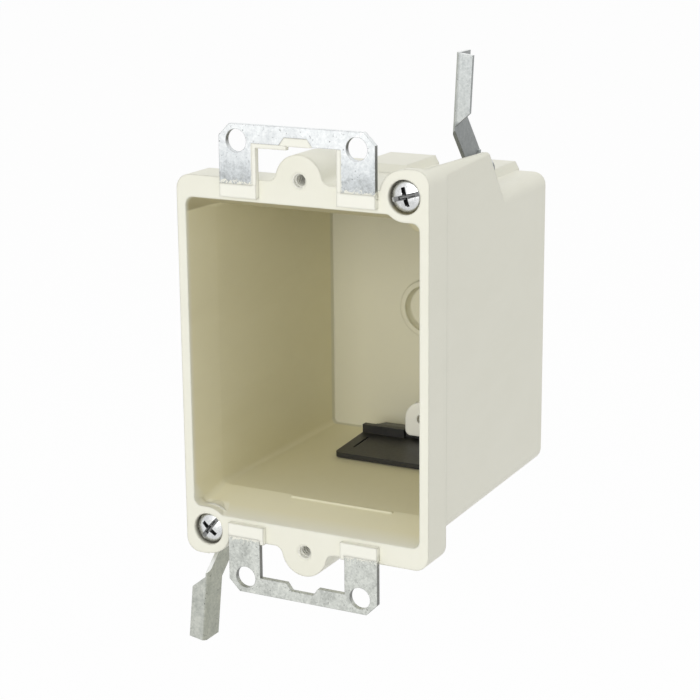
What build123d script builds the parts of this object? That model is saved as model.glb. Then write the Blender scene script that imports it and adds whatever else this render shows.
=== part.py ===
from build123d import *
from math import cos, radians, sin, sqrt
import os

os.makedirs("parts", exist_ok=True)

# Frame: X to the right seen from the front, Y back into the wall, Z up.
# The origin is the centre of the front opening, on the front face of the flange.

# Box walls
half_width = 30.45          # side walls at the front face
half_height = 35.3          # top and bottom walls behind the flange
box_depth = 68.0
side_taper = 1.25           # by which each side wall closes in towards the back
edge_radius = 3.0           # long edges of the body
back_radius = 2.0           # edges round the back
wall_side = 2.9             # where the lead-in ends
wall_side_back = 2.2
wall_end = 2.3              # top and bottom
wall_back = 2.3
cavity_radius = 1.2
half_width_back = half_width - side_taper
side_draft = side_taper / box_depth
cavity_half_width = half_width - wall_side
cavity_half_width_back = half_width_back - wall_side_back
cavity_half_height = half_height - wall_end

# Front flange
flange_overhang = 5.9       # beyond the top and bottom walls
flange_depth = 9.0
flange_radius = 3.3
flange_rim = 2.15           # beside the opening
opening_rise = 1.0          # of the opening beyond the top and bottom walls
opening_radius = 1.8
flange_half_height = half_height + flange_overhang
opening_half_width = half_width - flange_rim
opening_half_height = half_height + opening_rise
lead_in_depth = 11.5        # the opening narrows to the cavity over this depth

# Clamp screws, one in the top right lobe and one in the bottom left lobe
screw_inset = 5.7           # from the side of the box
screw_rise = 4.8            # beyond the top and bottom walls
screw_radius = 1.75
screw_length = 41.1         # under the head, to Y 43
screw_hole_clearance = 0.3
head_radius = 3.4
head_height = 1.6
head_rim_height = 0.8       # straight part under the crown
head_gap = 0.3              # between head and counterbore
head_seat_gap = 0.05
head_seat = 1.9             # depth of the counterbore
recess_length = 4.3
recess_width = 1.05
recess_depth = 1.5
slot_width = 1.0
slot_depth = 0.85
screw_x = half_width - screw_inset
screw_z = half_height + screw_rise

# Lobes that carry the screws
lobe_radius = 5.7
lobe_rise = 5.9             # top of the lobe above the screw
lobe_thickness = 2.0        # at its rim, before the bevelled back
lobe_bevel = 1.0
lip_radius = 5.3            # inner edge of the lobe, seen in the opening
lip_depth = 3.0
lip_side_radius = 1.8       # where the lip meets the side and the end of the opening
lip_end_radius = 1.5
channel_reach = 5.55        # open space behind the lobe for the arm, inward from the screw
channel_wall = 1.3          # left between the channel and the opening
wing_thickness = 2.05
wing_top_depth = 31.8
wing_foot_depth = 41.1
wing_fall = 0.9
lobe_top = screw_z + lobe_rise
lip_edge_z = screw_z - lip_radius
channel_x = screw_x - channel_reach
channel_floor = opening_half_height + channel_wall
wing_base = half_height - edge_radius   # where the wing runs out on the body

# Bosses for the wiring device, 3-9/32 in. apart
device_spacing = 83.34
device_boss_radius = 5.6
device_boss_foot_radius = 2.0   # where its sides meet the flange
device_boss_depth = 15.5
device_boss_draft = 6.0
device_hole_radius = 1.45
device_hole_depth = 13.0
device_hole_chamfer = 0.45

# Ears of sheet steel
ear_thickness = 1.2
ear_rise = 11.95            # beyond the flange
ear_lobe_gap = 0.35         # between its side and the lobe of a screw
ear_corner = 2.65
ear_leg_width = 8.0
ear_bar_width = 3.95
ear_notch_rim = 2.25        # left above the notch
ear_notch_half_width = 2.75
ear_notch_mouth = 4.0
ear_hole_inset = 4.25       # from the side of the ear
ear_hole_drop = 3.6         # from its top
ear_hole_radius = 2.5
ear_bend_radius = 1.1
ear_tang_inset = 2.0        # underside of the tang in the flange, from its edge
ear_tang_length = 6.0
ear_slot_clearance = 0.05
ear_half_width = screw_x - lobe_radius - ear_lobe_gap
ear_leg_inner = ear_half_width - ear_leg_width
ear_top = flange_half_height + ear_rise
ear_bar_z = ear_top - ear_bar_width
ear_notch_top = ear_top - ear_notch_rim
ear_hole_x = ear_half_width - ear_hole_inset
ear_hole_z = ear_top - ear_hole_drop
ear_tang_z = flange_half_height - ear_tang_inset

# Pads of plastic over the bent feet of the ears, and the lining of the top ear
pad_reach = 4.0             # from the edge of the flange
pad_cover = 3.0             # part that lies over the bend
pad_skin = 0.15             # in front of the metal
lining_width = 1.0
lining_end = 2.3
pad_inner = ear_leg_inner - lining_width
pad_low_z = flange_half_height - pad_reach

# Swing arms: u is outward from the screw, v along the arm, depth from its front
arm_thickness = 0.9
arm_inner = 1.8             # back of the web, from the screw axis
arm_plate_width = 4.1
arm_length = 27.0
arm_tip_slope = 0.32
arm_shoulder_out = 14.2
arm_shoulder_in = 10.2
arm_slant = 0.93            # depth gained per unit of v on the slanted edges
arm_tip_flange = 6.1
arm_foot_depth = 14.1       # front of the plate to the back of the foot
arm_knee_v = 4.1
arm_web_end_v = 2.4
arm_bend_radius = 1.3
foot_thickness = 1.2
foot_radius = 3.0
foot_link = 1.2             # width of the strip that joins foot and web
thread_clearance = 0.06
upper_arm_depth = 25.8
upper_arm_lean = 2.9
lower_arm_depth = -1.6
lower_arm_lean = 5.6

# Cable entries in the back corners, under raised hoods
entry_centre = 3.0          # midway between the two entries of an end wall
entry_spacing = 20.0
entry_width = 10.0
entry_height = 4.5
entry_ramp = 6.0
entry_pocket_length = 18.0
hood_spacing = 20.85
hood_width = 16.85
hood_rise = 1.8
hood_wall = 1.2
hood_length = 18.0
hood_slope = 3.9            # left flank
hood_steep = 1.0            # right flank
hood_ramp = 2.2
entry_pocket_depth = box_depth - entry_pocket_length
hood_start = box_depth - hood_length
hood_height = half_height + hood_rise
entry_floor = hood_height - hood_wall

# Back wall: raised ring and the two posts over the cable clamps
ring_x = -0.6
ring_z = -0.5
ring_radius = 7.25
ring_bore_radius = 5.9
ring_height = 1.0
ring_dish = 1.2             # sunk into the wall inside the ring
post_length = 11.7
post_half_width = 4.3
post_drop = 7.7             # centre of the post, from the top or bottom wall
post_corner = 1.3
post_hole_radius = 1.2
post_hole_depth = 6.0
post_front = box_depth - wall_back - post_length
post_centre_z = cavity_half_height - post_drop

# Fine raised line across the lead-in on the floor
line_start = -9.0
line_end = 16.6
line_depth = 10.7
line_width = 0.5
line_height = 0.3

# Cable clamps
clamp_half_width = 16.2
clamp_length = 16.5
clamp_back_gap = 9.7        # behind it, to the back wall
clamp_thickness = 1.2
clamp_front_lift = 0.3      # free edge above the floor
clamp_slope = 0.9           # the plate rises by this much towards the back
clamp_ridge_thickness = 1.6
clamp_ridge_height = 4.35   # above the floor
clamp_step_depth = 1.6
clamp_step_inset = 2.4
clamp_foot_width = 1.2
clamp_middle_foot = 8.6
clamp_foot_radius = 0.8
clamp_foot_gap = 0.3
clamp_post_gap = 0.6
clamp_groove_start = 4.5    # behind the free edge
clamp_groove_length = 7.5
clamp_groove_inset = 2.9
clamp_groove_width = 0.5
clamp_groove_depth = 0.35
clamp_corner = 1.2
clamp_back = box_depth - wall_back - clamp_back_gap
clamp_front = clamp_back - clamp_length
clamp_ridge_top = cavity_half_height - clamp_ridge_height

ends = (("upper", 1), ("lower", -1))


def at(depth):
    """Plane parallel to the front face, with X to the right and Z up."""
    return Plane.XZ.offset(-depth)


def side(x):
    """Plane parallel to the side walls, with Y to the right and Z up."""
    return Plane.YZ.offset(x)


def bent_leg(end, play):
    """Side outline of an ear's leg below the edge of the flange, with its tang."""
    front = -ear_thickness - play
    low = ear_tang_z - play
    Polygon(
        (front, end * flange_half_height),
        (front, end * low),
        (ear_tang_length + play, end * low),
        (ear_tang_length + play, end * (ear_tang_z + ear_thickness + play)),
        (0, end * (ear_tang_z + ear_thickness + play)),
        (0, end * flange_half_height),
        align=None,
    )
    bend = vertices().sort_by_distance((front, end * low, 0))[0]
    fillet(bend, ear_bend_radius + play)


# Box: one moulding of glass filled polyester with flange, lobes, bosses and hoods
with BuildPart() as box_shell:
    # Wings that stop the arms, flush with the drafted side walls
    for name, end in ends:
        lobe_middle = (screw_x + half_width) / 2
        with BuildSketch(at(0)):
            with Locations((end * lobe_middle, end * (wing_base + lobe_top) / 2)):
                Rectangle(half_width - screw_x, lobe_top - wing_base)
            corner = vertices().sort_by_distance((end * half_width, end * lobe_top, 0))[0]
            fillet(corner, flange_radius)
            inner_width = half_width - wing_thickness - screw_x
            with Locations((end * (screw_x + inner_width / 2), end * (wing_base + lobe_top) / 2)):
                Rectangle(inner_width, lobe_top - wing_base, mode=Mode.SUBTRACT)
        extrude(amount=-wing_foot_depth)
        with BuildSketch(side(end * screw_x)):
            with BuildLine():
                Polyline(
                    (0, end * lobe_top),
                    (wing_top_depth, end * (lobe_top - wing_fall)),
                    (wing_foot_depth, end * wing_base),
                    (wing_foot_depth + 1, end * (lobe_top + 1)),
                    (0, end * (lobe_top + 1)),
                    close=True,
                )
            make_face()
        extrude(amount=end * 2 * lobe_radius, mode=Mode.SUBTRACT)
        with BuildSketch(Plane.XY.offset(end * wing_base)):
            with BuildLine():
                Polyline(
                    (end * (half_width - side_draft * flange_depth), flange_depth),
                    (end * (half_width - side_draft * box_depth), box_depth),
                    (end * (half_width + 1), box_depth),
                    (end * (half_width + 1), flange_depth),
                    close=True,
                )
            make_face()
        extrude(amount=end * (lobe_top - wing_base), mode=Mode.SUBTRACT)

    # Body behind the flange
    with BuildSketch(at(0)):
        RectangleRounded(2 * half_width, 2 * half_height, edge_radius)
    with BuildSketch(at(box_depth)):
        RectangleRounded(2 * half_width_back, 2 * half_height, edge_radius)
    loft()
    fillet(box_shell.faces().sort_by(Axis.Y)[-1].edges(), back_radius)

    # Flange across the front, with the device bosses in its top and bottom edges
    with BuildSketch(at(0)):
        RectangleRounded(2 * half_width, 2 * flange_half_height, flange_radius)
        for name, end in ends:
            with Locations(Location((0, end * device_spacing / 2, 0), (0, 0, -90 * end))):
                Circle(device_boss_radius)
        feet = [
            corner for corner in vertices()
            if abs(abs(corner.Y) - flange_half_height) < 0.01 and abs(corner.X) < device_boss_radius
        ]
        fillet(feet, device_boss_foot_radius)
    extrude(amount=-flange_depth)

    for name, end in ends:
        # Drafted tail of the device boss behind the flange
        tail_low = min(half_height, device_spacing / 2 - device_boss_radius) - 1
        with BuildSketch(at(flange_depth)):
            with Locations((0, end * device_spacing / 2)):
                Circle(device_boss_radius)
            with Locations((0, end * (tail_low + device_spacing / 2) / 2)):
                Rectangle(2 * device_boss_radius, device_spacing / 2 - tail_low)
        extrude(amount=flange_depth - device_boss_depth, taper=device_boss_draft)

        # Lobe round the clamp screw
        with BuildSketch(at(0)):
            with Locations((end * screw_x, end * screw_z)):
                Circle(lobe_radius)
            lobe_middle = (screw_x + half_width) / 2
            lobe_low = flange_half_height - flange_radius - 1
            with Locations((end * lobe_middle, end * (lobe_low + lobe_top) / 2)):
                Rectangle(half_width - screw_x, lobe_top - lobe_low)
            corner = vertices().sort_by_distance((end * half_width, end * lobe_top, 0))[0]
            fillet(corner, flange_radius)
        extrude(amount=-lobe_thickness)

        # Hoods over the cable entries at the back of the end wall
        for hand in (-1, 1):
            hood_x = entry_centre + hand * hood_spacing / 2
            with BuildSketch(at(hood_start)):
                with BuildLine():
                    Polyline(
                        (hood_x - hood_width / 2, end * (half_height - 1)),
                        (hood_x - hood_width / 2, end * half_height),
                        (hood_x - hood_width / 2 + hood_slope, end * hood_height),
                        (hood_x + hood_width / 2 - hood_steep, end * hood_height),
                        (hood_x + hood_width / 2, end * half_height),
                        (hood_x + hood_width / 2, end * (half_height - 1)),
                        close=True,
                    )
                make_face()
            extrude(amount=hood_start - box_depth)
        with BuildSketch(side(entry_centre - hood_spacing)):
            with BuildLine():
                Polyline(
                    (hood_start - 0.1, end * half_height),
                    (hood_start + hood_ramp, end * (hood_height + 0.1)),
                    (hood_start - 0.1, end * (hood_height + 0.1)),
                    close=True,
                )
            make_face()
        extrude(amount=2 * hood_spacing, mode=Mode.SUBTRACT)

    # Cavity with its lead-in
    with BuildSketch(at(0)):
        RectangleRounded(2 * opening_half_width, 2 * opening_half_height, opening_radius)
    with BuildSketch(at(lead_in_depth)):
        RectangleRounded(2 * cavity_half_width, 2 * cavity_half_height, cavity_radius)
    loft(mode=Mode.SUBTRACT)
    with BuildSketch(at(lead_in_depth)):
        RectangleRounded(2 * cavity_half_width, 2 * cavity_half_height, cavity_radius)
    with BuildSketch(at(box_depth - wall_back)):
        RectangleRounded(2 * cavity_half_width_back, 2 * cavity_half_height, cavity_radius)
    loft(mode=Mode.SUBTRACT)

    for name, end in ends:
        # Lip of the lobe inside the opening
        with BuildSketch(at(0)):
            with Locations((end * screw_x, end * screw_z)):
                Circle(lip_radius)
            rim_x = half_width - flange_rim / 2
            with Locations((end * (screw_x + rim_x) / 2, end * (lip_edge_z + screw_z) / 2)):
                Rectangle(rim_x - screw_x, screw_z - lip_edge_z)
            rim_z = lip_edge_z - 2 * lip_side_radius
            with Locations((end * (opening_half_width + rim_x) / 2, end * (rim_z + screw_z) / 2)):
                Rectangle(rim_x - opening_half_width, screw_z - rim_z)
            rim_start = screw_x - 2 * lip_radius
            with Locations((end * (rim_start + rim_x) / 2, end * (opening_half_height + screw_z) / 2)):
                Rectangle(rim_x - rim_start, screw_z - opening_half_height)
            side_corner = vertices().sort_by_distance((end * opening_half_width, end * lip_edge_z, 0))[0]
            fillet(side_corner, lip_side_radius)
            lip_chord = sqrt(lip_radius ** 2 - (screw_z - opening_half_height) ** 2)
            end_corner = vertices().sort_by_distance((end * (screw_x - lip_chord), end * opening_half_height, 0))[0]
            fillet(end_corner, lip_end_radius)
        extrude(amount=-lip_depth)

        # Channel behind the lobe, open to the back, for the screw and the arm
        channel_width = half_width - wing_thickness - channel_x
        channel_height = lobe_top - channel_floor + 1
        with BuildSketch(at(lobe_thickness)):
            with Locations((
                end * (channel_x + channel_width / 2),
                end * (channel_floor + channel_height / 2),
            )):
                Rectangle(channel_width, channel_height)
        extrude(amount=lobe_thickness - flange_depth - 1, mode=Mode.SUBTRACT)
        with BuildSketch(at(lobe_thickness)):
            with Locations((end * screw_x, end * screw_z)):
                Circle(lobe_radius)
        extrude(amount=-lobe_bevel, taper=45)

        # Counterbore and hole for the clamp screw
        with BuildSketch(at(0)):
            with Locations((end * screw_x, end * screw_z)):
                Circle(head_radius + head_gap)
        extrude(amount=-head_seat, mode=Mode.SUBTRACT)
        with BuildSketch(at(0)):
            with Locations((end * screw_x, end * screw_z)):
                Circle(screw_radius + screw_hole_clearance)
        extrude(amount=-lip_depth - 1, mode=Mode.SUBTRACT)

        # Threaded hole of the device boss
        with BuildSketch(at(0)):
            with Locations((0, end * device_spacing / 2)):
                Circle(device_hole_radius)
        extrude(amount=-device_hole_depth, mode=Mode.SUBTRACT)
        mouth = device_hole_radius + device_hole_chamfer
        with BuildSketch(at(0)):
            with Locations((0, end * device_spacing / 2)):
                Circle(mouth)
        extrude(amount=-device_hole_chamfer, taper=45, mode=Mode.SUBTRACT)

        # Pads over the bent feet of the ear, and slots for its legs and tangs
        for hand in (-1, 1):
            pad_middle = (pad_inner + ear_half_width) / 2
            with BuildSketch(at(0)):
                with Locations((hand * pad_middle, end * (pad_low_z + pad_cover / 2))):
                    Rectangle(ear_half_width - pad_inner, pad_cover)
            extrude(amount=ear_thickness + pad_skin)
            with BuildSketch(at(0)):
                with Locations((hand * (ear_leg_inner - lining_width / 2), end * (pad_low_z + pad_reach / 2))):
                    Rectangle(lining_width, pad_reach)
            extrude(amount=ear_thickness)
            leg_middle = (ear_leg_inner + ear_half_width) / 2
            slot_half_width = ear_leg_width / 2 + ear_slot_clearance
            with BuildSketch(side(hand * leg_middle - slot_half_width)):
                bent_leg(end, ear_slot_clearance)
            extrude(amount=2 * slot_half_width, mode=Mode.SUBTRACT)

        # Cable entries: a pocket in the hood, a ramp out of it and a hole in the back
        for hand in (-1, 1):
            entry_x = entry_centre + hand * entry_spacing / 2
            with BuildSketch(side(entry_x - entry_width / 2)):
                with BuildLine():
                    Polyline(
                        (entry_pocket_depth, end * cavity_half_height),
                        (entry_pocket_depth + entry_ramp, end * entry_floor),
                        (box_depth + 1, end * entry_floor),
                        (box_depth + 1, end * (entry_floor - entry_height)),
                        (box_depth - wall_back - 1, end * (entry_floor - entry_height)),
                        (box_depth - wall_back - 1, end * (cavity_half_height - 1)),
                        (entry_pocket_depth, end * (cavity_half_height - 1)),
                        close=True,
                    )
                make_face()
            extrude(amount=entry_width, mode=Mode.SUBTRACT)

        # Post on the back wall that holds the cable clamp down
        with BuildSketch(at(post_front)):
            with Locations((entry_centre, end * post_centre_z)):
                Circle(post_half_width)
            with Locations((entry_centre, end * (post_centre_z + post_half_width / 2))):
                RectangleRounded(2 * post_half_width, post_half_width, post_corner)
            with Locations((entry_centre, end * (post_centre_z + post_half_width / 4))):
                Rectangle(2 * post_half_width, post_half_width / 2)
        extrude(amount=post_front - box_depth + wall_back)
        with BuildSketch(at(post_front)):
            with Locations((entry_centre, end * post_centre_z)):
                Circle(post_hole_radius)
        extrude(amount=-post_hole_depth, mode=Mode.SUBTRACT)

    # Lining along the inner edges of the top ear
    with BuildSketch(at(0)):
        for hand in (-1, 1):
            with Locations((hand * (ear_leg_inner - lining_width / 2), (pad_low_z + ear_bar_z) / 2)):
                Rectangle(lining_width, ear_bar_z - pad_low_z)
        bar_length = ear_leg_inner - lining_end
        with Locations((-lining_end - bar_length / 2, ear_bar_z - lining_width / 2)):
            Rectangle(bar_length, lining_width)
    extrude(amount=ear_thickness)

    # Raised ring on the back wall
    with BuildSketch(at(box_depth - wall_back - ring_height)):
        with Locations((ring_x, ring_z)):
            Circle(ring_radius)
            Circle(ring_bore_radius, mode=Mode.SUBTRACT)
    extrude(amount=-ring_height)
    with BuildSketch(at(box_depth - wall_back)):
        with Locations((ring_x, ring_z)):
            Circle(ring_bore_radius)
    extrude(amount=-ring_dish, taper=20, mode=Mode.SUBTRACT)

    # Fine line across the lead-in on the floor
    lead_in_slope = (opening_half_height - cavity_half_height) / lead_in_depth
    line_z = opening_half_height - lead_in_slope * line_depth
    with BuildSketch(Plane.XY.offset(-line_z - line_width)):
        with Locations(((line_start + line_end) / 2, line_depth)):
            Rectangle(line_end - line_start, line_width)
    extrude(amount=line_height + line_width)

box_shell.part.label = "box_shell"


# Ear: sheet steel bar with two legs whose tangs are moulded into the flange
def make_ear(name, end):
    with BuildPart() as ear:
        with BuildSketch(at(0)):
            with BuildLine():
                Polyline(
                    (-ear_half_width, end * flange_half_height),
                    (-ear_half_width, end * (ear_top - ear_corner)),
                    (-ear_half_width + ear_corner, end * ear_top),
                    (ear_half_width - ear_corner, end * ear_top),
                    (ear_half_width, end * (ear_top - ear_corner)),
                    (ear_half_width, end * flange_half_height),
                    (ear_leg_inner, end * flange_half_height),
                    (ear_leg_inner, end * ear_bar_z),
                    (ear_notch_mouth, end * ear_bar_z),
                    (ear_notch_half_width, end * ear_notch_top),
                    (-ear_notch_half_width, end * ear_notch_top),
                    (-ear_notch_mouth, end * ear_bar_z),
                    (-ear_leg_inner, end * ear_bar_z),
                    (-ear_leg_inner, end * flange_half_height),
                    close=True,
                )
            make_face()
            with Locations((-ear_hole_x, end * ear_hole_z), (ear_hole_x, end * ear_hole_z)):
                Circle(ear_hole_radius, mode=Mode.SUBTRACT)
        extrude(amount=ear_thickness)
        for hand in (-1, 1):
            leg_middle = hand * (ear_leg_inner + ear_half_width) / 2
            with BuildSketch(side(leg_middle - ear_leg_width / 2)):
                bent_leg(end, 0)
            extrude(amount=ear_leg_width)
    ear.part.label = name + "_ear"
    export_step(ear.part, "parts/" + name + "_ear.step")


# Clamp screw: pan head with a slot and a crossed recess, shank at its outside diameter
def make_screw(name, end, turn):
    head_back = head_seat - head_seat_gap
    crown = head_back - head_height
    rim = head_back - head_rim_height
    shank_end = head_back + screw_length
    centre = (end * screw_x, end * screw_z)
    across = Plane(origin=(centre[0], 0, centre[1]), x_dir=(1, 0, 0), z_dir=(0, 0, 1))
    with BuildPart() as screw:
        with BuildSketch(across):
            with BuildLine():
                TangentArc((0, crown), (head_radius, rim), tangent=(1, 0))
                Polyline(
                    (head_radius, rim),
                    (head_radius, head_back),
                    (screw_radius, head_back),
                    (screw_radius, shank_end - 0.5),
                    (screw_radius - 0.5, shank_end),
                    (0, shank_end),
                    (0, crown),
                )
            make_face()
        revolve(axis=Axis((centre[0], 0, centre[1]), (0, 1, 0)))
        with BuildSketch(at(crown)):
            with Locations(Location((*centre, 0), (0, 0, turn))):
                Rectangle(recess_length, recess_width)
                Rectangle(recess_width, recess_length)
        extrude(amount=-recess_depth, taper=12, mode=Mode.SUBTRACT)
        with BuildSketch(at(crown)):
            with Locations(Location((*centre, 0), (0, 0, turn))):
                Rectangle(2 * head_radius + 1, slot_width)
        extrude(amount=-slot_depth, mode=Mode.SUBTRACT)
    screw.part.label = name + "_clamp_screw"
    export_step(screw.part, "parts/" + name + "_clamp_screw.step")


# Swing arm: steel folded to an angle, with a foot that is threaded on the screw
def make_arm(name, end, depth, lean):
    outward = Vector(end * cos(radians(lean)), 0, -end * sin(radians(lean)))
    centre = Vector(end * screw_x, depth, end * screw_z)
    front = Plane(origin=centre, x_dir=outward, z_dir=(0, -1, 0))
    web = Plane(origin=centre - outward * arm_inner, x_dir=(0, 1, 0), z_dir=outward)
    slant_end = (arm_shoulder_in - arm_web_end_v) * arm_slant
    rear_bend_v = arm_knee_v + (arm_foot_depth - arm_tip_flange) / arm_slant
    with BuildPart() as arm:
        with BuildSketch(front):
            with BuildLine():
                Polyline(
                    (-arm_inner, arm_shoulder_in),
                    (-arm_inner, arm_length),
                    (-arm_inner + arm_plate_width, arm_length - arm_tip_slope),
                    (-arm_inner + arm_plate_width, arm_shoulder_out),
                    close=True,
                )
            make_face()
        extrude(amount=-arm_thickness)
        with BuildSketch(web):
            with BuildLine():
                Polyline(
                    (0, arm_length),
                    (arm_tip_flange, arm_length),
                    (arm_tip_flange, rear_bend_v),
                    (arm_foot_depth, arm_knee_v),
                    (arm_foot_depth, arm_web_end_v),
                    (slant_end, arm_web_end_v),
                    (0, arm_shoulder_in),
                    close=True,
                )
            make_face()
        extrude(amount=arm_thickness)
        bend = front.from_local_coords(Vector(-arm_inner, (arm_length + arm_shoulder_in) / 2, 0))
        fillet(arm.edges().sort_by_distance(bend)[0], arm_bend_radius)
        with BuildSketch(front.offset(foot_thickness - arm_foot_depth)):
            Circle(foot_radius)
            with Locations((foot_link / 2 - arm_inner, arm_knee_v / 2)):
                Rectangle(foot_link, arm_knee_v)
            Circle(screw_radius + thread_clearance, mode=Mode.SUBTRACT)
        extrude(amount=-foot_thickness)
    arm.part.label = name + "_swing_arm"
    export_step(arm.part, "parts/" + name + "_swing_arm.step")


# Cable clamp: plate over the two entries, held at its back edge by the post
def make_clamp(name, end):
    low = cavity_half_height
    plate_back_low = low - clamp_front_lift - clamp_slope
    with BuildPart() as clamp:
        with BuildSketch(side(entry_centre - clamp_half_width)):
            with BuildLine():
                Polyline(
                    (clamp_front, end * (low - clamp_front_lift)),
                    (clamp_back, end * plate_back_low),
                    (clamp_back, end * (plate_back_low - clamp_thickness)),
                    (clamp_front, end * (low - clamp_front_lift - clamp_thickness)),
                    close=True,
                )
            make_face()
        extrude(amount=2 * clamp_half_width)
        front_edges = clamp.edges().filter_by(Plane.YZ).filter_by(Axis.Z).group_by(Axis.Y)[0]
        fillet(front_edges, clamp_corner)

        # Ridge along the back, lower in the middle under the post
        gap = post_half_width + clamp_post_gap
        ridge_length = clamp_half_width - gap
        with BuildSketch(at(clamp_back - clamp_ridge_thickness)):
            for hand in (-1, 1):
                with Locations((
                    entry_centre + hand * (gap + ridge_length / 2),
                    end * (clamp_ridge_top + plate_back_low) / 2,
                )):
                    Rectangle(ridge_length, plate_back_low - clamp_ridge_top)
        extrude(amount=-clamp_ridge_thickness)
        with BuildSketch(at(clamp_back)):
            for hand in (-1, 1):
                with Locations((
                    entry_centre + hand * (gap + (ridge_length - clamp_step_inset) / 2),
                    end * (clamp_ridge_top + 0.4 + plate_back_low) / 2,
                )):
                    Rectangle(ridge_length - clamp_step_inset, plate_back_low - clamp_ridge_top - 0.4)
        extrude(amount=-clamp_step_depth)

        # Round feet over the wall of the box, clear of the entries, on which the clamp rocks
        foot_height = low - clamp_foot_gap - clamp_foot_radius
        foot_depth = clamp_back - clamp_foot_radius
        for foot_x, foot_width in (
            (entry_centre - clamp_half_width, clamp_foot_width),
            (entry_centre - clamp_middle_foot / 2, clamp_middle_foot),
            (entry_centre + clamp_half_width - clamp_foot_width, clamp_foot_width),
        ):
            with BuildSketch(side(foot_x)):
                with Locations((foot_depth, end * foot_height)):
                    Circle(clamp_foot_radius)
                with Locations((foot_depth, end * (foot_height - clamp_foot_radius / 2))):
                    Rectangle(2 * clamp_foot_radius, clamp_foot_radius)
            extrude(amount=foot_width)

        # Grooves that let the two tongues bend
        for hand in (-1, 1):
            with BuildSketch(Plane.XY.offset(end * (low - clamp_front_lift - clamp_thickness - clamp_slope))):
                with Locations((
                    entry_centre + hand * (clamp_half_width - clamp_groove_inset),
                    clamp_front + clamp_groove_start + clamp_groove_length / 2,
                )):
                    Rectangle(clamp_groove_width, clamp_groove_length)
            extrude(amount=end * (clamp_slope * 0.6 + clamp_groove_depth), mode=Mode.SUBTRACT)
    clamp.part.label = name + "_cable_clamp"
    export_step(clamp.part, "parts/" + name + "_cable_clamp.step")


export_step(box_shell.part, "parts/box_shell.step")
for name, end in ends:
    make_ear(name, end)
    make_clamp(name, end)
make_screw("upper", 1, 16)
make_screw("lower", -1, 51)
make_arm("upper", 1, upper_arm_depth, upper_arm_lean)
make_arm("lower", -1, lower_arm_depth, lower_arm_lean)
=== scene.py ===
import math

import bmesh
import bpy
from mathutils import Matrix, Vector


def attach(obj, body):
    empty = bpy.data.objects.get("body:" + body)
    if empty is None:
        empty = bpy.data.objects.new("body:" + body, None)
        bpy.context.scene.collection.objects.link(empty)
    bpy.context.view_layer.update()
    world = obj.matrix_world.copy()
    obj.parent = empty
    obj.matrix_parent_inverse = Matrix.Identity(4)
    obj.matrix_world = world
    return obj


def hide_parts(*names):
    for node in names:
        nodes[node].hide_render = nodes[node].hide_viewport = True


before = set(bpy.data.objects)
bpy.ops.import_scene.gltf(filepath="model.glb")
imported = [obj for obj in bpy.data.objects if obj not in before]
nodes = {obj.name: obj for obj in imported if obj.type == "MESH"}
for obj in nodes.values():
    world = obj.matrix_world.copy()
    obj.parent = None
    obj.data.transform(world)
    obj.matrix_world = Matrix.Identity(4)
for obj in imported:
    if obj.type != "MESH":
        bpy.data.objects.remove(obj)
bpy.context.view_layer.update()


# Box: one compression moulding of cream glass-filled polyester.
# It came out of a polished tool, so the faces are satin and every edge is slightly soft.
# Short fibres and the flow of the paste leave faint clouds in the colour.
class Signal:
    """A shader socket that takes part in Python arithmetic."""

    def __init__(self, finish, socket):
        self.finish = finish
        self.socket = socket

    def operate(self, operation, *inputs):
        return self.finish.add("ShaderNodeMath", {"operation": operation}, dict(enumerate(inputs)))

    def __add__(self, other):
        return self.operate("ADD", self, other)

    def __sub__(self, other):
        return self.operate("SUBTRACT", self, other)

    def __rsub__(self, other):
        return self.operate("SUBTRACT", other, self)

    def __mul__(self, other):
        return self.operate("MULTIPLY", self, other)

    def __truediv__(self, other):
        return self.operate("DIVIDE", self, other)

    def __abs__(self):
        return self.operate("ABSOLUTE", self)

    def clamped(self):
        return self.operate("MAXIMUM", self.operate("MINIMUM", self, 1.0), 0.0)

    def below(self, limit, blur):
        """1 where the value is under the limit, 0 above it, with a soft change."""
        return ((limit - self) / blur).clamped()


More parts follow.
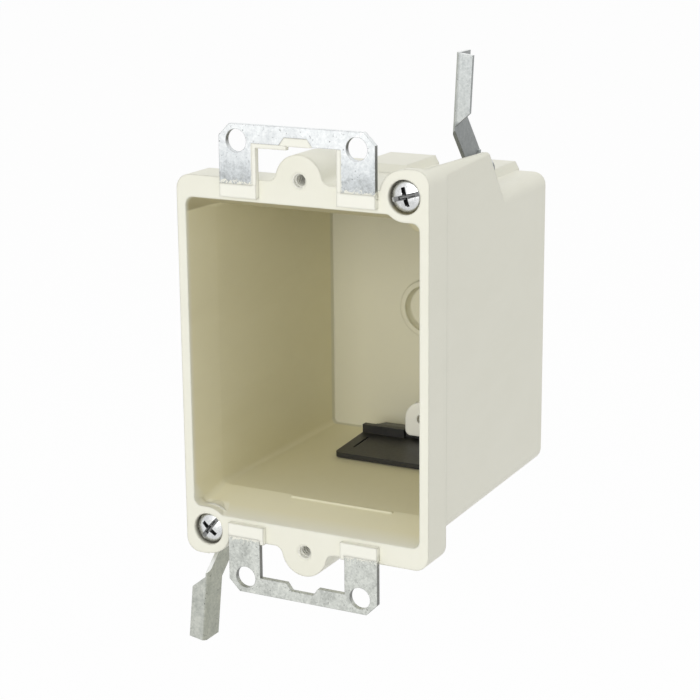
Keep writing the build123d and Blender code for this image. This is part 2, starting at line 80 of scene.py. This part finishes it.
class Finish:
    """A node material on Object coordinates, with one method that adds a node."""

    def __init__(self, name):
        self.material = bpy.data.materials.new(name)
        self.material.use_nodes = True
        self.tree = self.material.node_tree
        self.shader = self.tree.nodes["Principled BSDF"]
        self.place = self.add("ShaderNodeTexCoord", {}, {}, "Object")
        self.x, self.y, self.z = self.parts_of(self.place)

    def add(self, kind, settings, inputs, output=0):
        node = self.tree.nodes.new(kind)
        for name, value in settings.items():
            setattr(node, name, value)
        for name, value in inputs.items():
            self.feed(node.inputs[name], value)
        return Signal(self, node.outputs[output])

    def feed(self, socket, value):
        if isinstance(value, Signal):
            self.tree.links.new(value.socket, socket)
        elif isinstance(value, (tuple, list)) and socket.type == "RGBA":
            socket.default_value = (*value, 1)
        else:
            socket.default_value = value

    def parts_of(self, vector):
        return [self.add("ShaderNodeSeparateXYZ", {}, {"Vector": vector}, axis) for axis in "XYZ"]

    def direction(self):
        """Which way the surface faces, seen from the piece itself."""
        return self.add("ShaderNodeTexCoord", {}, {}, "Normal")

    def rounded(self, radius):
        """Which way the surface would face if its edges were rounded."""
        return self.add("ShaderNodeBevel", {"samples": 6}, {"Radius": radius})

    def noise(self, scale, detail, roughness, stretch=None, distortion=0.0):
        place = self.place
        if stretch:
            place = self.add("ShaderNodeMapping", {}, {"Vector": self.place, "Scale": stretch})
        return self.add("ShaderNodeTexNoise", {}, {
            "Vector": place,
            "Scale": scale,
            "Detail": detail,
            "Roughness": roughness,
            "Distortion": distortion,
        })

    def ramp(self, value, *colours):
        """Run through the colours, evenly spread from 0 to 1."""
        blended = self.add("ShaderNodeValToRGB", {}, {"Fac": value})
        stops = blended.socket.node.color_ramp.elements
        for index, colour in enumerate(colours):
            position = index / (len(colours) - 1)
            stop = stops[index] if index < 2 else stops.new(position)
            stop.position = position
            stop.color = (*colour, 1)
        return blended

    def mix(self, share, first, second, blend="MIX"):
        return self.add(
            "ShaderNodeMix",
            {"data_type": "RGBA", "blend_type": blend},
            {0: share, 6: first, 7: second},
            2,
        )

    def soft_edges(self, radius, height, strength, distance):
        """Rounded edges, with a fine bump on every face."""
        return self.add("ShaderNodeBump", {}, {
            "Strength": strength,
            "Distance": distance,
            "Height": height,
            "Normal": self.rounded(radius),
        })

    def surface(self, **inputs):
        for name, value in inputs.items():
            self.feed(self.shader.inputs[name.replace("_", " ")], value)
        return self.material


def dress(node, material):
    mesh = nodes[node].data
    mesh.materials.clear()
    mesh.materials.append(material)


flange_back = 0.0092
cavity_half_width, cavity_half_height, cavity_back = 0.0288, 0.0341, 0.0674
lead_in_rise, back_wall, ceiling_height, floor_start = 0.004, 0.064, 0.0327, 0.03
post_x, post_half_width, post_top, post_front, post_back = 0.003, 0.0048, 0.0299, 0.0537, 0.0645
screw_x, screw_z = 0.02475, 0.0401
head_edge, lobe_lip_radius = 0.0035, 0.0054
device_screw_z = 0.04167

cream = Finish("cream_moulding")
clouds = cream.noise(38, 3, 0.55, (1, 0.7, 1.6), 0.6)
flow = cream.noise(150, 4, 0.6, (1, 0.5, 1.3), 1.2)
grain = cream.noise(1600, 2, 0.6)
paste = ((clouds * 1.4 + flow * 0.5) - 0.45).clamped()
outer_cream = cream.mix(paste, (0.815, 0.805, 0.688), (0.862, 0.852, 0.742))
# Painted shade: the darker, warmer cream of the inner walls
inner_shade_and_light = cream.mix(paste, (0.785, 0.735, 0.50), (0.835, 0.79, 0.56))

# Painted shade: the inner walls are darker and warmer, more so on the back wall and the top wall
# near the front; painted light on the front of the floor and the lower post
wall_height = cream.y.below(flange_back, 0.0003) * lead_in_rise + cavity_half_height
floor_side = ((-floor_start - cream.z) / 0.004).clamped()
# Painted shade: where the inner walls take that darker cream
inside_shade = (
    abs(cream.x).below(cavity_half_width, 0.0004)
    * abs(cream.z).below(wall_height, 0.0004)
    * cream.y.below(cavity_back, 0.0003)
    * (cream.y / (floor_side * 0.0035 + 0.0014)).clamped()
)
# Painted shade on the back wall, and on the top wall near the front
back = ((cream.y - back_wall) / 0.0006).clamped()
ceiling_shade = ((cream.z - ceiling_height) / 0.0004).clamped()
# Painted light on the lower post; the upper post stays in its shade
lower_post_light = (
    abs(cream.x - post_x).below(post_half_width, 0.0002)
    * abs(cream.z).below(post_top, 0.0003)
    * (0.0 - cream.z / 0.001).clamped()
    * ((cream.y - post_front) / 0.0002).clamped()
    * cream.y.below(post_back, 0.0005)
)
# Painted light on the front of the floor
front_floor_light = floor_side * ((0.034 - cream.y) / 0.022).clamped()
inner_shade_and_light = cream.mix(front_floor_light * 0.6, inner_shade_and_light, (0.87, 0.835, 0.63))
inner_shade_and_light = cream.mix(back, inner_shade_and_light, (0.72, 0.695, 0.54))
inner_shade_and_light = cream.mix(ceiling_shade, inner_shade_and_light, (0.50, 0.455, 0.285))
inner_shade_and_light = cream.mix(lower_post_light, inner_shade_and_light, (0.93, 0.92, 0.84))

# Painted shade in the narrow gap round each screw head
bore_x = abs(cream.x) - screw_x
bore_z = abs(cream.z) - screw_z
bore_square = bore_x * bore_x + bore_z * bore_z
bore_radius = bore_square.operate("SQRT", bore_square)
screw_corner = (cream.x * cream.z * 1e6).clamped()
ring_shade = abs(bore_radius - head_edge).below(0.00026, 0.00006)
ring_shade = ring_shade * ((cream.y - 0.0001) / 0.0008).clamped() * screw_corner
outer_cream = cream.mix(ring_shade * 0.75, outer_cream, (0.20, 0.185, 0.14))

# Painted light: everything standing out from the flange, shaded sides included, the device screw
# holes and the rim of the lower lobe are paler
proud_light = cream.y.below(-0.00012, 0.0002)
hole_z = abs(cream.z) - device_screw_z
hole_light = (cream.x * cream.x + hole_z * hole_z).below(0.0000028, 0.0000004)
outer_cream = cream.mix((proud_light * 0.5 + hole_light).clamped(), outer_cream, (0.93, 0.925, 0.85))
lobe_rim_light = abs(bore_radius - lobe_lip_radius).below(0.0006, 0.0002) * cream.y.below(0.0055, 0.001)
lobe_rim_light = lobe_rim_light * screw_corner * floor_side
inner_shade_and_light = cream.mix(lobe_rim_light * 0.8, inner_shade_and_light, (0.93, 0.91, 0.76))
cream_skin = cream.surface(
    Base_Color=cream.mix(inside_shade, outer_cream, inner_shade_and_light),
    Roughness=clouds * 0.14 + 0.38,
    Normal=cream.soft_edges(0.0006, grain + flow * 0.6, 0.12, 0.00006),
    Specular_IOR_Level=0.4,
)
dress("box_shell", cream_skin)


# Back of the lip under each screw lobe: it runs on until the sloping wall takes it up.
# It is the same moulding as the box.
def thicken(shape, depth):
    """Extrude a flat outline back along Y."""
    moved = bmesh.ops.extrude_face_region(shape, geom=list(shape.faces))["geom"]
    corners = [part for part in moved if isinstance(part, bmesh.types.BMVert)]
    bmesh.ops.translate(shape, verts=corners, vec=(0, depth, 0))


def finished(name, shape, material):
    """Turn a shape into an object of the scene, with its faces outwards."""
    bmesh.ops.recalc_face_normals(shape, faces=shape.faces)
    mesh = bpy.data.meshes.new(name)
    shape.to_mesh(mesh)
    shape.free()
    mesh.materials.append(material)
    made = bpy.data.objects.new(name, mesh)
    bpy.context.scene.collection.objects.link(made)
    return made


lip_radius, lip_front, lip_back, lip_cut = 0.0053, 0.0029, 0.0076, 0.037
for side, name in ((1, "upper"), (-1, "lower")):
    shape = bmesh.new()
    bmesh.ops.create_circle(
        shape,
        cap_ends=True,
        segments=72,
        radius=lip_radius,
        matrix=Matrix.Translation((side * screw_x, lip_front, side * screw_z))
        @ Matrix.Rotation(math.radians(90), 4, "X"),
    )
    bmesh.ops.bisect_plane(
        shape,
        geom=[*shape.verts, *shape.edges, *shape.faces],
        plane_co=(0, 0, side * lip_cut),
        plane_no=(0, 0, side),
        clear_outer=True,
    )
    thicken(shape, lip_back - lip_front)
    lip = finished(name + "_lobe_lip", shape, cream_skin)
    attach(lip, "box")


# Threads formed in the two bosses that take the device screws.
# They are part of the moulding, and stop a little way down each hole.
def wind(shape, centre, start, tooth, pitch, turns, steps):
    """Turn a tooth's outline round an axis along Y, one pitch further each turn."""
    outline = shape.faces.new([
        shape.verts.new(centre + Vector((radius, start + along, 0))) for radius, along in tooth
    ])
    bmesh.ops.spin(
        shape,
        geom=[outline, *outline.edges, *outline.verts],
        cent=centre,
        axis=(0, -1, 0),
        dvec=(0, pitch / steps, 0),
        angle=math.tau * turns,
        steps=steps * turns,
    )


thread_pitch = 0.000794
hole_root, hole_crest = 0.00148, 0.00123
hole_start, hole_turns, hole_steps = 0.0011, 12, 24
for side, name in ((1, "upper"), (-1, "lower")):
    shape = bmesh.new()
    rib = (
        (hole_root, -thread_pitch * 0.42),
        (hole_crest, -thread_pitch * 0.06),
        (hole_crest, thread_pitch * 0.06),
        (hole_root, thread_pitch * 0.42),
    )
    hole_axis = Vector((0, 0, side * device_screw_z))
    wind(shape, hole_axis, hole_start, rib, thread_pitch, hole_turns, hole_steps)
    thread = finished(name + "_device_thread", shape, cream_skin)
    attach(thread, "box")


# Ears and swing arms: stamped from galvanised sheet steel, the ears moulded into the flange.
# The zinc coat is mottled in greys, with dark pits and bright rubbed spots.
def galvanised(name, dark, middle, bright, shine, moulded_in):
    steel = Finish(name)
    bare_edge = (0.13, 0.13, 0.12)
    cells = {"Vector": steel.place, "Scale": 1700.0}
    spangle = steel.add("ShaderNodeTexVoronoi", {}, cells, "Color")
    crystal = steel.add("ShaderNodeSeparateColor", {}, {"Color": spangle}, "Red")
    patches = steel.noise(330, 4, 0.65, None, 0.6)
    mottle = steel.noise(1500, 4, 0.75, None, 0.5)
    pits = steel.noise(1900, 2, 0.5)
    scratches = steel.noise(1100, 3, 0.7, (1, 1, 0.08))
    upper = (steel.z / 0.001).clamped()
    if moulded_in:
        # Painted light: the bars are brighter than the feet
        painted_lift = upper * ((steel.z - 0.0405) / 0.009).clamped() * 0.62 - upper * 0.2 - 0.09
    else:
        # Painted light: the top of the upper arm is brighter than its slanted part, and the lower
        # arm a little brighter
        painted_lift = ((steel.z - 0.0515) / 0.001).clamped() * 0.28 - upper * 0.07 + (1 - upper) * 0.1
    tone = crystal * 0.14 + patches * 0.75 + mottle * 0.95 + scratches * 0.3 + painted_lift - 0.58
    coat = steel.ramp(tone.clamped(), dark, middle, bright)
    pit = ((pits - 0.67) * 14.0).clamped() * 0.75
    coat = steel.mix(pit, coat, tuple(0.25 * part for part in dark))
    coat = steel.mix(1 - upper, coat, (1.0, 0.985, 0.91), "MULTIPLY")
    metal = 0.8
    rough = patches * 0.2 + mottle * 0.1 + shine
    facing = steel.direction()
    face_x, face_y, face_z = steel.parts_of(facing)
    if moulded_in:
        # Sheared edges are bare and dark, but those facing up stay light as painted light, and a
        # thin film of plastic crept over the feet
        edge_bare_and_shaded = ((0.62 - abs(face_y)) * 6.0).clamped() * (1 - (face_z * 1.5).clamped())
        creep = steel.noise(780, 5, 0.75, None, 1.5)
        foot = abs(steel.z).below(creep * 0.0074 + 0.0371, 0.0005)
        strip = abs(steel.x).below(creep * 0.0007 + 0.01055, 0.00012)
        strip = strip * upper * steel.z.below(0.0492, 0.0003) * ((0.0 - face_y) * 3.0).clamped()
        film = (foot + strip).clamped() * 0.93
        agree = steel.add(
            "ShaderNodeVectorMath",
            {"operation": "DOT_PRODUCT"},
            {0: steel.rounded(0.00028), 1: facing},
            "Value",
        )
        rim = ((0.985 - agree) * 5.0).clamped() * 0.6
        coat = steel.mix(edge_bare_and_shaded * 0.85, coat, bare_edge)
        coat = steel.mix(rim, coat, (0.16, 0.165, 0.165))
        coat = steel.mix(film, coat, (0.84, 0.83, 0.73))
        metal = 0.8 - film * 0.8
        rough = rough + film * 0.1
    else:
        # Painted shade on the inner corner of the angle, on the faces turned toward the box and on
        # the bare lower edges; the upper edges get a painted highlight
        hand = steel.x.operate("SIGN", steel.x)
        angle_shade = ((hand * face_x - 0.4) * 4.0).clamped()
        inward_shade = ((0.0 - hand * face_x - 0.3) * 3.0).clamped()
        edge_bare_and_shaded = ((0.0 - face_z - 0.35) * 5.0).clamped()
        edge_highlight = ((face_z - 0.35) * 5.0).clamped()
        coat = steel.mix(inward_shade, coat, (0.80, 0.80, 0.74), "MULTIPLY")
        coat = steel.mix(angle_shade * 0.55, coat, tuple(0.3 * part for part in middle))
        coat = steel.mix(edge_bare_and_shaded * 0.6, coat, bare_edge)
        coat = steel.mix(edge_highlight * 0.7, coat, (0.92, 0.93, 0.92))
    return steel.surface(
        Base_Color=coat,
        Metallic=metal,
        Roughness=rough,
        Normal=steel.soft_edges(0.00016, patches * 0.6 + mottle + scratches * 0.4, 0.3, 0.00006),
    )


ear_steel = galvanised(
    "galvanised_ears", (0.34, 0.36, 0.36), (0.66, 0.69, 0.70), (0.90, 0.92, 0.92), 0.26, True
)
# Painted shade: the arms take a darker copy of the same steel
arm_steel = galvanised(
    "galvanised_arms", (0.26, 0.28, 0.28), (0.46, 0.485, 0.48), (0.68, 0.70, 0.69), 0.3, False
)
for ear in ("upper_ear", "lower_ear"):
    dress(ear, ear_steel)
for arm in ("upper_swing_arm", "lower_swing_arm"):
    dress(arm, arm_steel)

# Plastic that lines the notch in the bar of the upper ear
lining_front, lining_back = -0.00115, -0.0001
shape = bmesh.new()
shape.faces.new([
    shape.verts.new((across, lining_front, height))
    for across, height in (
        (-0.00402, 0.04915),
        (-0.00278, 0.05088),
        (0.00278, 0.05088),
        (0.00402, 0.04915),
        (0.0034, 0.049),
        (-0.0032, 0.049),
    )
])
thicken(shape, lining_back - lining_front)
lining = finished("upper_ear_notch_lining", shape, cream_skin)
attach(lining, "box")


# Clamp screws: cold-headed steel with rolled threads and bright zinc plate.
# Painted shade darkens the slot and the crossed recess.
thread_start, thread_end, shank_end = 0.0034, 0.042, 0.0427
thread_crest, shank_radius, thread_root, thread_steps = 0.00175, 0.00138, 0.00128, 20
dome_height, dome_spread, recess_floor = 0.00025, 0.01525, 0.0021

zinc = Finish("bright_zinc_plate")
haze = zinc.noise(900, 4, 0.65)
wear = zinc.noise(2600, 2, 0.6)
off_x = abs(zinc.x) - screw_x
off_z = abs(zinc.z) - screw_z
dome = (off_x * off_x + off_z * off_z) / dome_spread + dome_height
recess_shade = ((zinc.y - dome - 0.00012) / 0.0002).clamped() * zinc.y.below(recess_floor, 0.0001)
plate = zinc.mix((haze * 1.6 - 0.3).clamped(), (0.53, 0.54, 0.54), (0.88, 0.89, 0.89))
zinc_skin = zinc.surface(
    Base_Color=zinc.mix(recess_shade * 0.72, plate, (0.05, 0.05, 0.047)),
    Metallic=1.0,
    Roughness=haze * 0.22 + 0.16,
    Normal=zinc.soft_edges(0.0001, wear + haze, 0.16, 0.00005),
)
for side, name in ((1, "upper"), (-1, "lower")):
    # Head: the CAD one, cut off where the thread starts
    node = name + "_clamp_screw"
    shape = bmesh.new()
    shape.from_mesh(nodes[node].data)
    bmesh.ops.remove_doubles(shape, verts=shape.verts, dist=1e-6)
    bmesh.ops.bisect_plane(
        shape,
        geom=[*shape.verts, *shape.edges, *shape.faces],
        plane_co=(0, thread_start, 0),
        plane_no=(0, 1, 0),
        clear_outer=True,
    )
    bmesh.ops.holes_fill(shape, edges=[edge for edge in shape.edges if edge.is_boundary])

    # Core of the shank, and one tooth's outline turned along it
    screw_axis = Vector((side * screw_x, 0, side * screw_z))
    shank_middle = screw_axis + Vector((0, (thread_start + shank_end) / 2, 0))
    bmesh.ops.create_cone(
        shape,
        cap_ends=True,
        segments=24,
        radius1=shank_radius,
        radius2=shank_radius,
        depth=shank_end - thread_start,
        matrix=Matrix.Translation(shank_middle) @ Matrix.Rotation(math.radians(-90), 4, "X"),
    )
    half = thread_pitch / 2
    tooth = (
        (thread_root, -half * 0.92),
        (thread_crest, -half * 0.14),
        (thread_crest, half * 0.14),
        (thread_root, half * 0.92),
    )
    turns = int((thread_end - thread_start) / thread_pitch)
    wind(shape, screw_axis, thread_start + half, tooth, thread_pitch, turns, thread_steps)
    screw = finished(name + "_threaded_screw", shape, zinc_skin)
    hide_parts(node)
    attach(screw, name + "_screw")


# Cable clamps: black thermoplastic, moulded with two tongues that press on the cable.
# Flaps behind the ridge keep each cable entry shut, and a bar runs under the post.
black = Finish("black_plastic")
black_grain = black.noise(1400, 2, 0.6)
black_skin = black.surface(
    Base_Color=black.mix(black_grain, (0.009, 0.009, 0.0085), (0.024, 0.023, 0.02)),
    Roughness=black_grain * 0.2 + 0.3,
    Normal=black.soft_edges(0.0002, black_grain, 0.15, 0.00005),
)
for clamp in ("upper_cable_clamp", "lower_cable_clamp"):
    dress(clamp, black_skin)

flap_front, flap_back, flap_thickness, flap_bevel = 0.0572, 0.0625, 0.0009, 0.00015
for side, name in ((1, "upper"), (-1, "lower")):
    shape = bmesh.new()
    for left, right, front, front_z, back, back_z in (
        (-0.0108, -0.0016, flap_front, 0.02905, flap_back, 0.03),
        (0.0076, 0.0168, flap_front, 0.02905, flap_back, 0.03),
        (-0.0022, 0.0082, 0.0554, 0.02992, 0.0574, 0.02992),
    ):
        slab = bmesh.ops.create_cube(shape, size=1.0)["verts"]
        bmesh.ops.scale(shape, verts=slab, vec=(right - left, back - front, flap_thickness))
        bmesh.ops.translate(
            shape,
            verts=slab,
            vec=((left + right) / 2, (front + back) / 2, side * (front_z + flap_thickness / 2)),
        )
        rear = [vert for vert in slab if vert.co.y > (front + back) / 2]
        bmesh.ops.translate(shape, verts=rear, vec=(0, 0, side * (back_z - front_z)))
    bmesh.ops.bevel(
        shape,
        geom=list(shape.edges),
        offset=flap_bevel,
        offset_type="OFFSET",
        segments=2,
        profile=0.5,
        affect="EDGES",
        material=-1,
    )
    flaps = finished(name + "_clamp_flaps", shape, black_skin)
    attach(flaps, name + "_clamp")


# Studio: a pale floor well below the box, a broad lamp in front of it and an even sky.
# The camera and mirrored light see floor and sky as plain white.
floor_height, floor_half_size, floor_white = -0.16, 8.0, 0.96
sky_light, sky_white = 0.565, 1.0
camera_place = (0.199339, -0.358015, 0.113840)
camera_pan, camera_tilt, camera_roll = 27.631, 75.087, -0.482

scene = bpy.context.scene
scene.view_settings.view_transform = "Standard"

pale = Finish("pale_floor")
pale.surface(Base_Color=(0.9, 0.9, 0.9), Roughness=0.9)
seen = pale.add("ShaderNodeLightPath", {}, {}, "Is Camera Ray")
shone = pale.add("ShaderNodeLightPath", {}, {}, "Is Glossy Ray")
through = pale.add("ShaderNodeLightPath", {}, {}, "Is Transmission Ray")
both = pale.add("ShaderNodeMixShader", {}, {
    0: (seen + shone + through).clamped() * floor_white,
    1: Signal(pale, pale.shader.outputs[0]),
    2: pale.add("ShaderNodeEmission", {}, {"Color": (1, 1, 1), "Strength": 1.0}),
})
pale.feed(pale.tree.nodes["Material Output"].inputs["Surface"], both)

shape = bmesh.new()
bmesh.ops.create_grid(shape, x_segments=1, y_segments=1, size=floor_half_size)
bmesh.ops.translate(shape, verts=shape.verts, vec=(0, 0, floor_height))
floor = finished("floor", shape, pale.material)

world = bpy.data.worlds.new("sky")
scene.world = world
world.use_nodes = True
sky = world.node_tree
ground = sky.nodes["Background"]
ground.inputs["Color"].default_value = (1, 1, 1, 1)
path = sky.nodes.new("ShaderNodeLightPath")
shown = path.outputs["Is Camera Ray"]
for ray in ("Is Glossy Ray", "Is Transmission Ray"):
    either = sky.nodes.new("ShaderNodeMath")
    either.operation = "MAXIMUM"
    sky.links.new(shown, either.inputs[0])
    sky.links.new(path.outputs[ray], either.inputs[1])
    shown = either.outputs[0]
level = sky.nodes.new("ShaderNodeMapRange")
level.inputs["To Min"].default_value = sky_light
level.inputs["To Max"].default_value = sky_white
sky.links.new(shown, level.inputs["Value"])
sky.links.new(level.outputs[0], ground.inputs["Strength"])

for name, place, size, power in (
    ("front_lamp", (0.12, -1.25, 0.32), 0.7, 6.2),
    ("top_lamp", (0.3, 0.1, 1.2), 0.8, 4.1),
):
    lamp = bpy.data.lights.new(name, "AREA")
    lamp.shape = "SQUARE"
    lamp.size = size
    lamp.energy = power
    lamp_object = bpy.data.objects.new(name, lamp)
    scene.collection.objects.link(lamp_object)
    lamp_object.location = place
    lamp_object.rotation_euler = (-Vector(place)).to_track_quat("-Z", "Y").to_euler()

camera = bpy.data.cameras.new("camera")
camera.sensor_width = 36
camera.lens = 101.11
camera.clip_start = 0.01
camera_object = bpy.data.objects.new("camera", camera)
scene.collection.objects.link(camera_object)
camera_object.matrix_world = (
    Matrix.Translation(camera_place)
    @ Matrix.Rotation(math.radians(camera_pan), 4, "Z")
    @ Matrix.Rotation(math.radians(camera_tilt), 4, "X")
    @ Matrix.Rotation(math.radians(camera_roll), 4, "Z")
)
scene.camera = camera_object
